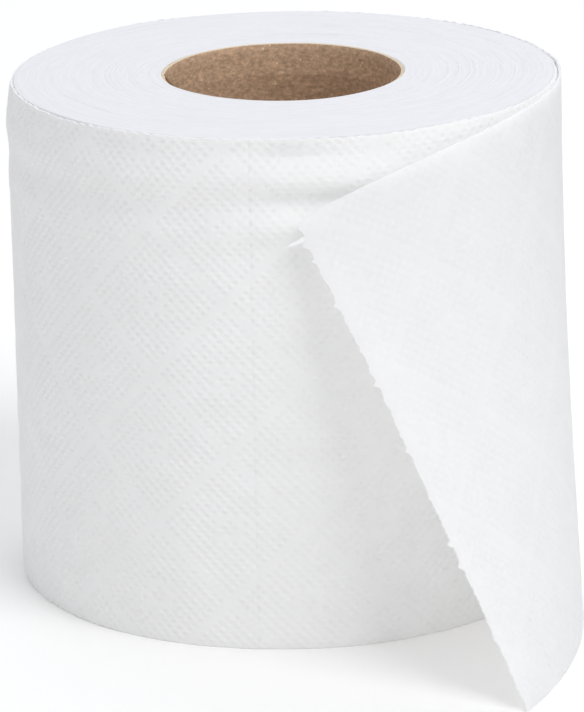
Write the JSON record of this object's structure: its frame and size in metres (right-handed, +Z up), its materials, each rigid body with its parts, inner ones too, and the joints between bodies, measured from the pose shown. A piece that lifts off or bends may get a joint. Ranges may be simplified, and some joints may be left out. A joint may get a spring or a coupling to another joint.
{
  "type": "toilet paper roll",
  "caption": "Embossed white toilet paper roll on a kraft board core, standing on its end, with its torn-off loose tail hanging to the floor in front.",
  "frame": {"origin": "centre of the lower end, on the axis of the core's bore", "axes": "+Z up along the roll's axis, -Y towards the loose tail's torn tip, +X on the side where the tail leaves the roll"},
  "size_m": [0.1095, 0.1416, 0.1],
  "materials": {
    "tissue": "soft embossed two-ply tissue, matt",
    "core_board": "recycled kraft board, matt"
  },
  "bodies": {
    "root": {"core_tube": "core_board", "paper_web": "tissue"}
  },
  "joints": []
}
